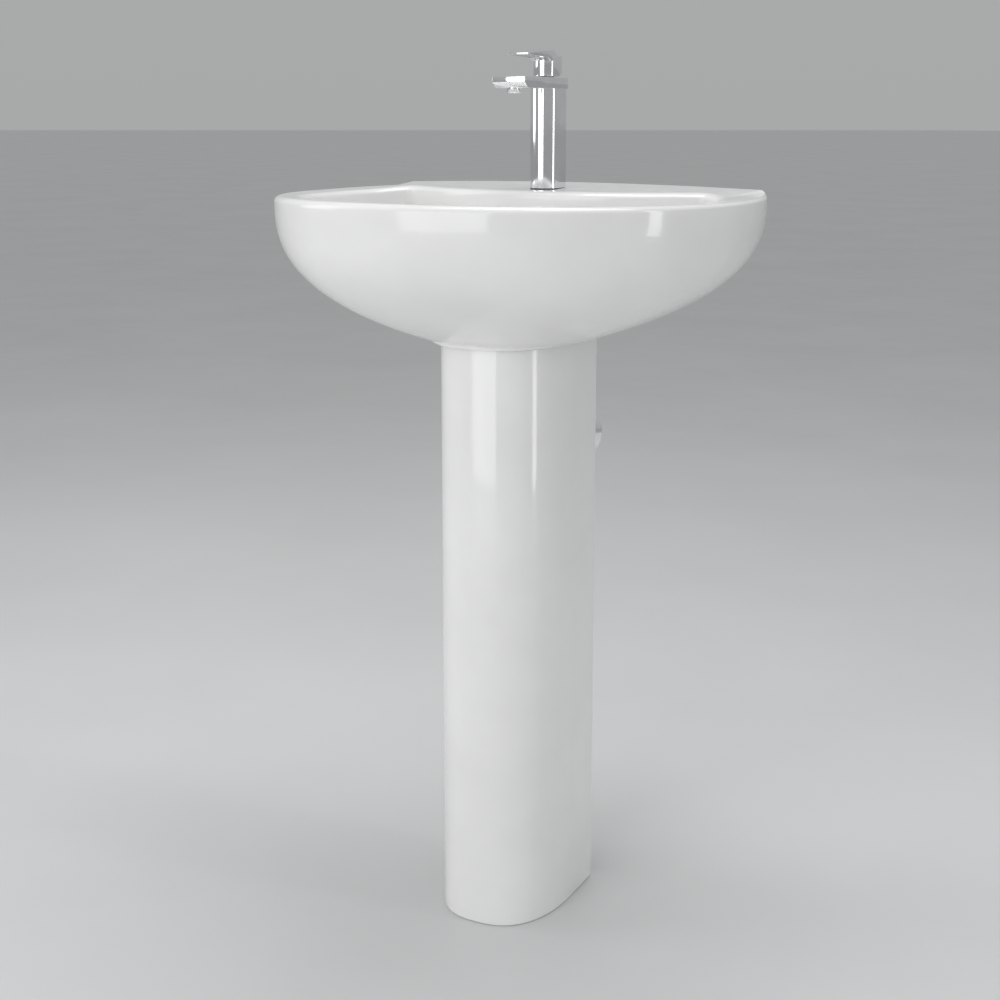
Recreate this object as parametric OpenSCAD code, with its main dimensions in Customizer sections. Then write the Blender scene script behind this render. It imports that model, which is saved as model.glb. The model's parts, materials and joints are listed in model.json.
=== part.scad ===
// Full pedestal wash basin: ceramic basin and pedestal, single-lever mixer tap, click waste,
// bottle trap and wall fixings, each piece a solid of its own.
// Millimetres. +Z is up, the front faces -Y, and the wall is the plane y = wall_y.
// The origin is on the floor at the centre of the pedestal's foot web, between its screw holes.

/* [Basin] */
// Distance from the origin to the wall
wall_y = 180; // [175:1:185]
// Half of the basin's greatest width
rim_half_w = 275; // [270:1:280]
// From the wall to the front of the rim
basin_reach = 450; // [445:1:455]
// Height of the tap ledge where it meets the wall
ledge_z = 874; // [873:0.5:875]
// Height of the rim's crest at the front
rim_front_z = 870.5; // [869:0.5:871]
// Height of the rim's crest at the sides
rim_side_z = 866; // [865:0.5:867]
// Height of the lowest edge of the basin's underside
shell_z = 700; // [699:0.5:701]
// Height of the bowl's floor round the waste
bowl_floor_z = 742; // [738:1:745]
// Thickness of the ceramic round the rear cavity
shell_wall = 12; // [11:1:13]

/* [Pedestal] */
// Half of the pedestal's width
ped_half_w = 76; // [74:1:78]
// Height of the pedestal
ped_h = 705; // [704.5:0.5:706]
// Thickness of the pedestal's wall
ped_wall = 11; // [10:1:12]
// How far the open back of the pedestal lies behind the origin
ped_back_y = 70; // [66:1:74]
// How far the front of the pedestal lies before the origin
ped_front_y = 103; // [101:1:104]
// Distance between the two floor screw holes
floor_screw_gap = 80; // [76:2:84]

/* [Tap] */
// Distance from the wall to the tap's axis
tap_from_wall = 96; // [94:1:98]
// Height of the top face of the spout
spout_top_z = 1001; // [1000:1:1003]
// Thickness of the spout
spout_t = 13; // [12.5:0.5:14]
// Radius of the inlet nipples
nipple_r = 4.9; // [4.85:0.05:5]
// Height of the nipples' lower ends
nipple_end = 798; // [790:1:800]
// Width of the spout
spout_w = 42; // [40:1:44]
// From the wall to the spout's nose
spout_reach = 197.5; // [195:0.5:200]
// Radius of the front of the column
column_r = 18; // [17.5:0.5:19]

/* [Waste] */
// How far the waste lies before the origin
waste_front = 5; // [3:1:7]
// Radius of the waste's threaded tube
waste_r = 20.9; // [20.5:0.1:21]
// Height of the trap's outlet
outlet_z = 556; // [552:1:560]
// Radius of the trap's tubes
tube_r = 16; // [15.9:0.05:16.1]
// Radius of the plate that covers the outlet at the wall
rosette_r = 36; // [34:1:38]

/* [Wall fixing] */
// Distance between the two wall studs
stud_gap = 240; // [230:5:250]
// Height of the wall studs
stud_z = 805; // [800:1:810]
// Radius of the wall studs
stud_r = 5; // [4:1:5]

/* [Hidden] */

ceramic = "white";
chrome = "lightsteelblue";
brass = "goldenrod";
steel = "silver";
rubber = "dimgray";
plastic = "gainsboro";

eps = 0.01;
round_fn = 96;

// Plan of the rim: an oval about the basin's middle, which the wall cuts off
rim_mid = 160;
rim_y = wall_y - rim_mid;
rim_b = basin_reach - rim_mid;
rim_back_b = 307;
rim_n = 2.2;
// Plan of the underside where it meets the pedestal
neck_y = 13;
skirt_t = 6.5;
neck_a = ped_half_w + skirt_t;
neck_b = ped_front_y + neck_y + skirt_t;
neck_n = 2.5;
// The front of the underside draws in this much faster than its sides
front_pull = 1.1;
// The oval at which the wall cuts the rim, in degrees round from the side
corner_start = 22;
corner_end = 29;
ledge_crown = 4;
ledge_slope = 0.035;

// Mouth of the bowl: an oval whose back bulges forward as the tap ledge
mouth_y = -10;
mouth_a = rim_half_w - 36;
mouth_front_b = basin_reach - wall_y - 24 + mouth_y;
mouth_back_b = 150;
mouth_front_n = 2.2;
mouth_back_n = 2.6;
ledge_bulge = 102;
ledge_half_w = 200;
drain_r = 34;

ring_points = 64;
shell_rings = 16;
bowl_rings = 12;

// Rear cavity under the tap ledge
cavity_top_z = 850;
cavity_front_y = 62;

tap_y = wall_y - tap_from_wall;
waste_y = -waste_front;
seat_z = deck_z(0, tap_y - 22);
seal_t = 1.5;
body_z = seat_z + seal_t;
spout_z = spout_top_z - spout_t;
nose_y = wall_y - spout_reach;
stud_end = cavity_top_z - 29;
// The wall studs: a thread inside the basin and a plain length into the wall
stud_thread_r = stud_r - 0.2;
stud_inside = 38;
stud_outside = 60;
pocket_z = ped_h + 2;
channel_z = pocket_z + 7;
channel_w = 22;

// Tap internals
cart_r = 12.9;
cart_bottom_z = spout_top_z - 41;
cart_top_z = spout_top_z - 7;
nut_r = 14;
// The back of the spout block leaves a 2 mm wall behind the cartridge's nut
spout_back = nut_r + 2;
turret_r = 8.9;
turret_bottom_z = cart_bottom_z + 20;
pivot_z = spout_top_z + 3;
pin_r = 1.5;
tilt_max = 20;
hub_bottom_z = spout_top_z + 1.4;
hub_top_z = spout_top_z + 25;
hub_r = 14.5;
hub_back = 15;
running = 0.05;

// Waste and trap
flange_t = 3;
tail_end_z = pocket_z - 46;
bowl_hole_r = 22.5;
overflow_z = 830;
bottle_r = 27;

function signed_pow(v, p) = sign(v) * pow(abs(v), p);
function blend(u, v, k) = u + (v - u) * k;
function smooth(k) = let (c = min(1, max(0, k))) c * c * (3 - 2 * c);
function oval(t, a, b, n) = [a * signed_pow(cos(t), 2 / n), b * signed_pow(sin(t), 2 / n)];

// How far the shell has drawn in from the rim (0) to the pedestal (1) at a share of its depth
function shell_shrink(k) = 1 - pow(1 - pow(k, 2.6), 0.9);

// Height of the tap ledge: it falls gently forward and to both sides
function deck_z(x, y) = ledge_z + ledge_slope * (y - wall_y) - ledge_crown * pow(x / 240, 2);

// Plan of the rim drawn in by an inset; behind its middle it runs back to the wall more slowly
function rim_plan(t, inset) =
    oval(t, rim_half_w - inset, (sin(t) < 0 ? rim_b : rim_back_b) - inset, rim_n);

// Height of the crest: rim at the front and sides, ledge past the wall corners
function crest_z(t) =
    let (
        rim = blend(rim_side_z, rim_front_z, max(0, -sin(t))),
        c = rim_plan(t, 0),
        ledge = deck_z(c[0], rim_y + c[1]),
        from_side = min(abs(t), abs(180 - t)),
        k = sin(t) > 0 ? smooth((from_side - corner_start) / (corner_end - corner_start)) : 0
    )
    blend(rim, ledge, k);

// The rim's rolled edge is fuller at the front than at the sides
function roll_in(t) = 5 + 6 * max(0, -sin(t));
function roll_drop(t) = 4 + 4 * max(0, -sin(t));

// A ring of the rolled edge, from upright (0) to the level crest (90)
function rim_ring(turn) = [
    for (i = [0 : ring_points - 1])
        let (
            t = i * 360 / ring_points,
            inset = roll_in(t) * (1 - cos(turn)),
            c = rim_plan(t, inset)
        )
        [c[0], rim_y + c[1], crest_z(t > 180 ? t - 360 : t) - roll_drop(t) * (1 - sin(turn))]
];

// A ring of the shell at a share k of its depth, drawn in by a wall thickness
function shell_ring(k, inset) =
    let (
        s = shell_shrink(k),
        front_s = min(1, front_pull * s),
        a = blend(rim_half_w, neck_a, s) - inset,
        y = blend(rim_y, neck_y, s),
        n = blend(rim_n, neck_n, s)
    )
    [
        for (i = [0 : ring_points - 1])
            let (
                t = i * 360 / ring_points,
                b = sin(t) < 0
                    ? y - blend(rim_y - rim_b, neck_y - neck_b, front_s)
                    : blend(rim_back_b, neck_b, s),
                c = oval(t, a, b - inset, n),
                top = crest_z(t > 180 ? t - 360 : t) - roll_drop(t)
            )
            [c[0], y + c[1], blend(top, shell_z, k)]
    ];

function mouth_point(t, grow) =
    let (
        back = sin(t) > 0,
        c = oval(
            t,
            mouth_a + grow,
            (back ? mouth_back_b : mouth_front_b) + grow,
            back ? mouth_back_n : mouth_front_n
        ),
        bulge = back ? ledge_bulge * pow(max(0, 1 - pow(abs(c[0]) / ledge_half_w, 3)), 1.3) : 0
    )
    [c[0], mouth_y + c[1] - bulge];

function mouth_z(t) =
    let (
        side = blend(rim_side_z, rim_front_z, max(0, -sin(t))) - 1,
        p = mouth_point(t, 0),
        k = sin(t) > 0 ? smooth((min(abs(t), abs(180 - t)) - 12) / 30) : 0
    )
    blend(side, deck_z(p[0], p[1]), k);

function mouth_ring(grow, drop) = [
    for (i = [0 : ring_points - 1])
        let (t = i * 360 / ring_points, p = mouth_point(t, grow))
        [p[0], p[1], mouth_z(t > 180 ? t - 360 : t) - drop]
];

function bowl_shrink(k) = 1 - pow(1 - pow(k, 3), 0.62);

function bowl_ring(k) =
    let (s = bowl_shrink(k))
    [
        for (i = [0 : ring_points - 1])
            let (
                t = i * 360 / ring_points,
                p = mouth_point(t, 0),
                top = mouth_z(t > 180 ? t - 360 : t) - 6
            )
            [
                blend(p[0], drain_r * cos(t), s),
                blend(p[1], waste_y + drain_r * sin(t), s),
                blend(top, bowl_floor_z, k)
            ]
    ];

// A closed skin through a stack of rings, with a centre point at each end
module skin(rings, first_centre, last_centre) {
    n = len(rings[0]);
    m = len(rings);
    points = concat([for (r = rings) each r], [first_centre, last_centre]);
    sides = [
        for (j = [0 : m - 2], i = [0 : n - 1])
            let (i2 = (i + 1) % n, p = j * n, q = (j + 1) * n)
            each [[p + i, q + i, q + i2], [p + i, q + i2, p + i2]]
    ];
    first_cap = [for (i = [0 : n - 1]) [n * m, i, (i + 1) % n]];
    last_cap = [for (i = [0 : n - 1]) [n * m + 1, (m - 1) * n + (i + 1) % n, (m - 1) * n + i]];
    polyhedron(points, concat(sides, first_cap, last_cap), convexity = 6);
}

function shell_share(j) = 1 - pow(1 - j / shell_rings, 1.7);

module basin_skin() {
    shell = [for (j = [shell_rings : -1 : 0]) shell_ring(shell_share(j), 0)];
    rim = [rim_ring(30), rim_ring(60), rim_ring(90)];
    lip = [mouth_ring(8, 0.6), mouth_ring(4, 2.2), mouth_ring(0, 6)];
    bowl = [for (j = [1 : bowl_rings]) bowl_ring(shell_share(j * shell_rings / bowl_rings))];
    skin(
        concat(shell, rim, lip, bowl),
        [0, neck_y, shell_z],
        [0, waste_y, bowl_floor_z]
    );
}

// The space inside the shell, with its wall thickness taken off
module shell_core() {
    rings = [for (j = [12 : -1 : 0]) shell_ring(shell_share(j * shell_rings / 12), shell_wall)];
    foot = [for (p = rings[0]) [p[0], p[1], shell_z - 5]];
    skin(
        concat([foot], rings),
        [0, neck_y, shell_z - 5],
        [0, rim_y, rings[len(rings) - 1][0][2]]
    );
}

module rear_plan() {
    polygon([
        [-150, wall_y - shell_wall], [150, wall_y - shell_wall], [150, 118], [105, 84],
        [45, cavity_front_y], [-45, cavity_front_y], [-105, 84], [-150, 118]
    ]);
}

// Front half an oval, back half straight
function pedestal_plan(inset, back) = concat(
    [
        for (i = [0 : 32])
            let (c = oval(180 + i * 180 / 32, ped_half_w - inset, ped_front_y + neck_y - inset, neck_n))
            [c[0], neck_y + c[1]]
    ],
    [[ped_half_w - inset, back], [-(ped_half_w - inset), back]]
);

module tube(r, bore, h) {
    difference() {
        cylinder(r = r, h = h, $fn = round_fn);
        translate([0, 0, -1]) cylinder(r = bore, h = h + 2, $fn = round_fn);
    }
}

// A hexagonal nut or a nut body with its bore along Z
module hex_nut(across, bore, h) {
    difference() {
        cylinder(r = across / 2 / cos(30), h = h, $fn = 6);
        translate([0, 0, -1]) cylinder(r = bore, h = h + 2, $fn = round_fn);
    }
}

// Two copies, one each side of the middle
module both_sides(gap) {
    for (side = [-1, 1])
        translate([side * gap / 2, 0, 0]) children();
}

module at_tap(z) {
    translate([0, tap_y, z]) children();
}

module at_waste(z) {
    translate([0, waste_y, z]) children();
}

module along_y(y, z) {
    translate([0, y, z]) rotate([-90, 0, 0]) children();
}

module basin() {
    color(ceramic)
    difference() {
        basin_skin();
        translate([-400, wall_y, 600]) cube([800, 400, 400]);
        intersection() {
            shell_core();
            translate([0, 0, 650]) linear_extrude(cavity_top_z - 650) rear_plan();
        }
        translate([-60, cavity_front_y, 650]) cube([120, wall_y - shell_wall - cavity_front_y, 110]);
        translate([0, 0, 650]) linear_extrude(pocket_z - 650) polygon(pedestal_plan(-1.5, ped_back_y + 1.5));
        // Tap hole and its flat seat
        at_tap(840) cylinder(r = 16, h = 60, $fn = round_fn);
        translate([0, tap_y - 3, seat_z]) linear_extrude(20) d_plan(column_r + 1, 22);
        // Waste hole and the seat of its flange
        at_waste(650) cylinder(r = bowl_hole_r, h = 120, $fn = round_fn);
        at_waste(bowl_floor_z - flange_t - 1) cylinder(r = 32.5, h = 20, $fn = round_fn);
        // Overflow: inlet, downward channel and the way into the waste hole
        along_y(20, overflow_z) cylinder(r = 11, h = 26, $fn = round_fn);
        translate([-channel_w / 2, 41, channel_z]) cube([channel_w, 10, overflow_z - channel_z]);
        translate([-channel_w / 2 + 3, 0, channel_z]) cube([channel_w - 6, 50, 9]);
        // Wall stud holes
        both_sides(stud_gap) along_y(150, stud_z) cylinder(r = 8, h = 60, $fn = round_fn);
    }
}

module pedestal() {
    web_t = 14;
    web_y = 24;
    color(ceramic)
    difference() {
        union() {
            linear_extrude(ped_h)
            difference() {
                polygon(pedestal_plan(0, ped_back_y));
                polygon(pedestal_plan(ped_wall, ped_back_y + 5));
            }
            translate([-ped_half_w + ped_wall / 2, -web_y, 0])
                cube([2 * ped_half_w - ped_wall, 2 * web_y, web_t]);
        }
        both_sides(floor_screw_gap) translate([0, 0, -1]) cylinder(r = 4.5, h = web_t + 2, $fn = 48);
    }
}

module pedestal_pads() {
    pad = [14, ped_wall - 2, pocket_z - ped_h];
    pad_y = 40;
    color(rubber) {
        both_sides(2 * ped_half_w - ped_wall)
            translate([-pad[1] / 2, pad_y, ped_h]) cube([pad[1], pad[0], pad[2]]);
        translate([-pad[0] / 2, -ped_front_y + 1, ped_h]) cube(pad);
    }
}

module wall_studs() {
    color(steel)
    both_sides(stud_gap) {
        along_y(wall_y - stud_inside, stud_z)
            cylinder(r = stud_thread_r, h = stud_inside + stud_outside, $fn = 48);
        along_y(wall_y + 4, stud_z) cylinder(r = stud_r, h = stud_outside - 4, $fn = 48);
    }
}

module stud_bushes() {
    color(plastic)
    both_sides(stud_gap) along_y(wall_y - shell_wall - 2.5, stud_z) {
        tube(7.9, stud_r + 0.1, shell_wall + 2);
        tube(12, stud_r + 0.1, 2.5);
    }
}

module stud_washers() {
    color(steel)
    both_sides(stud_gap) along_y(wall_y - shell_wall - 4.5, stud_z) tube(12, stud_r + 0.1, 2);
}

module stud_nuts() {
    color(steel)
    both_sides(stud_gap) along_y(wall_y - shell_wall - 12.5, stud_z) hex_nut(17, stud_thread_r, 8);
}

// D-shaped plan: a round front of radius r about the tap's front centre and flat sides running back
module d_plan(r, back) {
    union() {
        circle(r = r, $fn = round_fn);
        translate([-r, 0]) square([2 * r, back]);
    }
}

module spout_block() {
    rotate([90, 0, 90])
    translate([0, 0, -spout_w / 2])
    linear_extrude(spout_w)
    polygon([
        [nose_y, spout_top_z], [nose_y, spout_top_z - 6.5], [nose_y + 8, spout_z],
        [tap_y + spout_back, spout_z], [tap_y + spout_back, spout_top_z]
    ]);
}

aerator_y = waste_y + 2;

module tap_body() {
    color(chrome)
    difference() {
        union() {
            translate([0, tap_y - 3, body_z]) linear_extrude(spout_z - body_z + 1) d_plan(column_r, 21);
            spout_block();
        }
        // Cartridge chamber and the thread of its nut
        at_tap(cart_bottom_z) cylinder(r = cart_r + 0.1, h = 60, $fn = round_fn);
        at_tap(cart_top_z) cylinder(r = nut_r, h = 20, $fn = round_fn);
        // Waterway along the spout and the aerator's socket
        along_y(aerator_y, spout_z + 6) cylinder(r = 3.6, h = tap_y - aerator_y, $fn = 48);
        at_tap(cart_bottom_z + 13) translate([0, -13, 0]) cylinder(r = 3, h = 21, $fn = 48);
        translate([0, aerator_y, spout_z - 1]) cylinder(r = 8, h = 9, $fn = round_fn);
        // Hollow foot with the stud hole and the two inlets
        at_tap(body_z - 1) cylinder(r = 14.5, h = 51, $fn = round_fn);
        for (side = [-1, 1])
            at_tap(body_z + 40) translate([side * 6.5, 0, 0]) cylinder(r = nipple_r, h = 25, $fn = 48);
        for (side = [-1, 1])
            at_tap(body_z + 60) translate([side * 6.5, 0, 0]) cylinder(r = 3, h = 32, $fn = 48);
        at_tap(body_z + 40) translate([0, 10, 0]) cylinder(r = 3.9, h = 25, $fn = 48);
    }
}

module tap_base_seal() {
    color(rubber)
    translate([0, tap_y - 3, seat_z])
    linear_extrude(seal_t)
    difference() {
        d_plan(column_r - 0.5, 20.5);
        translate([0, 3]) circle(r = 14.5, $fn = round_fn);
    }
}

module tap_stud() {
    color(steel)
    translate([0, tap_y + 10, stud_end]) cylinder(r = 3.9, h = body_z + 65 - stud_end, $fn = 48);
}

// A disc open at one side for the inlet hoses
module horseshoe(r, t) {
    difference() {
        cylinder(r = r, h = t, $fn = round_fn);
        translate([-12.5, -r - 1, -1]) cube([25, r + 6.2, t + 2]);
        translate([0, 10, -1]) cylinder(r = 4, h = t + 2, $fn = 48);
    }
}

module tap_rubber_washer() {
    color(rubber) at_tap(cavity_top_z - 3) horseshoe(21, 3);
}

module tap_metal_washer() {
    color(steel) at_tap(cavity_top_z - 5) horseshoe(21, 2);
}

module tap_nut() {
    color(brass) translate([0, tap_y + 10, cavity_top_z - 25]) hex_nut(11, 3.9, 20);
}

// Threaded nipple for each inlet hose, with a groove above its free end
module inlet_nipples() {
    color(brass)
    for (side = [-1, 1])
        at_tap(nipple_end) translate([side * 6.5, 0, 0]) {
            tube(nipple_r, 3, 20);
            tube(nipple_r - 0.5, 3, 24);
            translate([0, 0, 24]) tube(nipple_r, 3, body_z + 60 - nipple_end - 24);
        }
}

module aerator_housing() {
    color(chrome)
    translate([0, aerator_y, spout_z - 5.5]) {
        tube(8, 6.5, 9);
    }
}

module aerator_insert() {
    color(plastic)
    translate([0, aerator_y, spout_z - 4.5])
    difference() {
        cylinder(r = 6.5, h = 7, $fn = round_fn);
        for (ring = [1, 2], i = [0 : 6 * ring - 1])
            rotate(i * 60 / ring) translate([ring * 2.2, 0, -1]) cylinder(r = 0.6, h = 9, $fn = 24);
    }
}

module cartridge() {
    color(plastic)
    at_tap(cart_bottom_z + 1.5)
    difference() {
        cylinder(r = cart_r, h = cart_top_z - cart_bottom_z - 1.5, $fn = round_fn);
        translate([0, 0, 18]) cylinder(r = turret_r + running, h = 40, $fn = round_fn);
        for (side = [-1, 1])
            translate([side * 6.5, 0, -1]) cylinder(r = 2.4, h = 12, $fn = 48);
        along_y(-20, 15) cylinder(r = 3, h = 16, $fn = 48);
    }
}

module cartridge_seal() {
    color(rubber)
    at_tap(cart_bottom_z)
    difference() {
        cylinder(r = cart_r - 1, h = 1.5, $fn = round_fn);
        for (side = [-1, 1])
            translate([side * 6.5, 0, -1]) cylinder(r = 3, h = 4, $fn = 48);
    }
}

module cartridge_nut() {
    color(brass) at_tap(cart_top_z) tube(nut_r, turret_r + running, 6.5);
}

// Turns in the cartridge with the lever, and carries the pin on which the stem tilts
module cartridge_turret() {
    color(plastic)
    difference() {
        at_tap(turret_bottom_z)
            cylinder(r = turret_r, h = spout_top_z + 7 - turret_bottom_z, $fn = round_fn);
        at_tap(pivot_z - 12) translate([-3.3, -7, 0]) cube([6.6, 14, 30]);
        along_x(pivot_z) cylinder(r = pin_r, h = 40, center = true, $fn = 48);
    }
}

module along_x(z) {
    translate([0, tap_y, z]) rotate([0, 90, 0]) children();
}

module turret_pin() {
    color(steel) along_x(pivot_z) cylinder(r = pin_r, h = 16, center = true, $fn = 48);
}

module cartridge_stem() {
    color(steel)
    difference() {
        union() {
            at_tap(pivot_z) translate([-3, -3.5, -8]) cube([6, 7, 25]);
            along_x(pivot_z) cylinder(r = 4, h = 6, center = true, $fn = 48);
        }
        along_x(pivot_z) cylinder(r = pin_r + running, h = 40, center = true, $fn = 48);
    }
}

// Flat blade reaching forward over the spout, in side view
blade_root_z = spout_top_z + 32;
blade_tip_z = spout_top_z + 27;
blade_tip_y = wall_y - 173;
blade_w = 26;

module lever_handle() {
    color(chrome)
    difference() {
        union() {
            translate([0, tap_y - 3, hub_bottom_z])
                linear_extrude(hub_top_z - hub_bottom_z)
                d_plan(hub_r, hub_back);
            rotate([90, 0, 90])
            translate([0, 0, -blade_w / 2])
            linear_extrude(blade_w)
            polygon([
                [blade_tip_y, blade_tip_z], [blade_tip_y, blade_tip_z - 2],
                [tap_y - 24, blade_root_z - 9], [tap_y - 16, hub_top_z - 6], [tap_y + 4, hub_top_z - 6],
                [tap_y + 4, hub_top_z], [tap_y - 8, blade_root_z]
            ]);
        }
        // Space for the turret as the handle tilts, and the stem's socket
        at_tap(hub_bottom_z - 1) cylinder(r = 11, h = pivot_z + 10.5 - hub_bottom_z + 1, $fn = round_fn);
        at_tap(pivot_z) translate([-3, -3.5, 0]) cube([6, 7, 17]);
        // The rear of the lower edge is cut back so that it clears the spout when the lever is up
        translate([0, tap_y, pivot_z])
        rotate([tilt_max + 1, 0, 0])
        translate([-30, 0, -22.6]) cube([60, 40, 20]);
        // Grub screw hole in the back
        along_y(tap_y + 3, pivot_z + 13) cylinder(r = 2.5, h = 20, $fn = 48);
    }
}

module lever_grub_screw() {
    color(steel)
    along_y(tap_y + 3.5, pivot_z + 13)
    difference() {
        cylinder(r = 2.5, h = 5, $fn = 48);
        translate([0, 0, 3]) cylinder(r = 1.4, h = 3, $fn = 6);
    }
}

module index_plug() {
    color("firebrick") along_y(tap_y + 9, pivot_z + 13) cylinder(r = 2.5, h = 3.2, $fn = 48);
}

module waste_body() {
    top = bowl_floor_z - 1;
    color(chrome)
    at_waste(0)
    difference() {
        union() {
            translate([0, 0, tail_end_z]) cylinder(r = waste_r, h = top - tail_end_z, $fn = round_fn);
            translate([0, 0, top - flange_t + 0.5]) cylinder(r = 31.5, h = flange_t - 0.5, $fn = round_fn);
        }
        translate([0, 0, tail_end_z - 1]) cylinder(r = 16.5, h = 30, $fn = round_fn);
        translate([0, 0, tail_end_z + 28]) cylinder(r = 18.5, h = 90, $fn = round_fn);
        translate([0, 0, top - 3]) cylinder(r1 = 20, r2 = 23, h = 3 + eps, $fn = round_fn);
        // Overflow slots through the wall
        for (turn = [0, 90])
            rotate(turn) translate([-30, -4, pocket_z + 10]) cube([60, 8, 8]);
    }
}

module waste_top_seal() {
    color(rubber) at_waste(bowl_floor_z - flange_t - 1) tube(31, waste_r + 0.1, 0.5);
}

module waste_bottom_seal() {
    color(rubber) at_waste(pocket_z - 5) tube(30, waste_r + 0.1, 5);
}

module waste_backnut() {
    color(brass) at_waste(pocket_z - 13) hex_nut(54, waste_r, 8);
}

plug_z = bowl_floor_z - 1;

module waste_plug() {
    color(chrome)
    at_waste(plug_z - 3)
    rotate_extrude($fn = round_fn)
    polygon([
        [0, 0], [19, 0], [19, 0.6], [22.4, 3.2], [22.4, 4.2], [15, 5.4], [7, 6], [0, 6.2]
    ]);
}

module plug_seal() {
    color(rubber) at_waste(plug_z - 6) tube(18.2, 4, 3);
}

module plug_stem() {
    color(brass)
    at_waste(0) {
        translate([0, 0, plug_z - 24]) cylinder(r = 3.9, h = 21, $fn = 48);
    }
}

// Sleeve on a cross bar inside the waste, in which the plug's stem clicks up and down
module click_capsule() {
    z = plug_z - 44;
    color(brass)
    at_waste(0)
    difference() {
        union() {
            translate([0, 0, z]) cylinder(r = 7.5, h = 36, $fn = round_fn);
            intersection() {
                translate([-18.5, -2.5, z]) cube([37, 5, 6]);
                translate([0, 0, z - 1]) cylinder(r = 18.5, h = 10, $fn = round_fn);
            }
        }
        translate([0, 0, z + 3]) cylinder(r = 6, h = 22, $fn = round_fn);
        translate([0, 0, z + 3]) cylinder(r = 3.9 + running, h = 40, $fn = round_fn);
    }
}

spring_coils = 5;
spring_steps = 10;

module plug_spring() {
    base = plug_z - 40.5;
    height = 16;
    wire = 0.5;
    coil_r = 3;
    sides = 6;
    count = spring_coils * spring_steps;
    rings = [
        for (i = [0 : count])
            let (turn = i * 360 / spring_steps, z = base + height * i / count)
            [
                for (j = [0 : sides - 1])
                    let (q = j * 360 / sides, r = coil_r + wire * cos(q))
                    [r * cos(turn), waste_y + r * sin(turn), z + wire * sin(q)]
            ]
    ];
    first = [coil_r, waste_y, base];
    last = [coil_r, waste_y, base + height];
    color(steel) skin(rings, first, last);
}

module overflow_ring() {
    color(chrome)
    along_y(35, overflow_z) {
        tube(10.9, 8.5, 6);
    }
}

module trap_union_nut() {
    color(chrome)
    at_waste(tail_end_z - 8)
    difference() {
        cylinder(r = 27, h = 20, $fn = round_fn);
        translate([0, 0, -1]) cylinder(r = tube_r + 0.5, h = 5, $fn = round_fn);
        translate([0, 0, 2]) cylinder(r = waste_r, h = 20, $fn = round_fn);
    }
}

module trap_inlet_washer() {
    color(rubber) at_waste(tail_end_z - 3) tube(20.5, tube_r, 3);
}

module trap_inlet_tube() {
    bottom = outlet_z - 66;
    color(chrome)
    at_waste(0)
    difference() {
        union() {
            translate([0, 0, bottom]) cylinder(r = tube_r, h = tail_end_z - bottom, $fn = round_fn);
            translate([0, 0, tail_end_z - 6]) cylinder(r = 20, h = 3, $fn = round_fn);
        }
        translate([0, 0, bottom - 1]) cylinder(r = tube_r - 1.5, h = 300, $fn = round_fn);
    }
}

module trap_gland_nut() {
    color(chrome)
    at_waste(outlet_z + 40)
    difference() {
        cylinder(r = 25, h = 22, $fn = round_fn);
        translate([0, 0, -1]) cylinder(r = 21, h = 19, $fn = round_fn);
        translate([0, 0, 10]) cylinder(r = tube_r + 0.3, h = 20, $fn = round_fn);
    }
}

module trap_gland_seal() {
    color(rubber) at_waste(outlet_z + 53) tube(20.5, tube_r, 4);
}

module trap_body() {
    color(chrome)
    difference() {
        union() {
            at_waste(outlet_z - 40) cylinder(r = bottle_r, h = 74, $fn = round_fn);
            at_waste(outlet_z + 33) cylinder(r = 21, h = 20, $fn = round_fn);
            along_y(waste_y, outlet_z) cylinder(r = 21, h = 60, $fn = round_fn);
        }
        at_waste(outlet_z - 41) cylinder(r = bottle_r - 2.5, h = 72, $fn = round_fn);
        at_waste(outlet_z + 20) cylinder(r = tube_r + 0.2, h = 60, $fn = round_fn);
        along_y(waste_y, outlet_z) cylinder(r = tube_r + 0.2, h = 70, $fn = round_fn);
    }
}

module trap_cup() {
    bottom = outlet_z - 92;
    color(chrome)
    at_waste(0)
    difference() {
        union() {
            translate([0, 0, bottom + 8]) cylinder(r = bottle_r + 3, h = 62, $fn = round_fn);
            translate([0, 0, bottom]) cylinder(r1 = 20, r2 = bottle_r + 3, h = 8 + eps, $fn = round_fn);
        }
        translate([0, 0, bottom + 6]) cylinder(r = bottle_r - 2.5, h = 90, $fn = round_fn);
        translate([0, 0, outlet_z - 42]) cylinder(r = bottle_r, h = 90, $fn = round_fn);
    }
}

module trap_cup_seal() {
    color(rubber) at_waste(outlet_z - 42) tube(bottle_r, bottle_r - 2.5, 2);
}

module trap_outlet_nut() {
    color(chrome)
    along_y(waste_y + 44, outlet_z)
    difference() {
        cylinder(r = 25, h = 24, $fn = round_fn);
        translate([0, 0, -1]) cylinder(r = 21, h = 21, $fn = round_fn);
        translate([0, 0, 10]) cylinder(r = tube_r + 0.3, h = 20, $fn = round_fn);
    }
}

module trap_outlet_seal() {
    color(rubber) along_y(waste_y + 60, outlet_z) tube(20.5, tube_r, 4);
}

module trap_outlet_tube() {
    color(chrome)
    difference() {
        along_y(waste_y + 40, outlet_z) tube(tube_r, tube_r - 1.5, wall_y - waste_y);
        // Groove that marks how far the tube goes into its socket
        along_y(wall_y + 4, outlet_z) tube(tube_r + 1, tube_r - 0.4, 2);
    }
}

module wall_rosette() {
    color(chrome)
    along_y(wall_y, outlet_z)
    mirror([0, 0, 1])
    rotate_extrude($fn = round_fn)
    polygon([
        [tube_r + 0.2, 14], [tube_r + 2, 14], [rosette_r - 10, 12], [rosette_r - 3, 7],
        [rosette_r, 1], [rosette_r, 0], [rosette_r - 1.5, 0], [rosette_r - 1.8, 1],
        [rosette_r - 4.5, 5.6], [rosette_r - 11, 10.3], [tube_r + 0.2, 12.2]
    ]);
}

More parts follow.
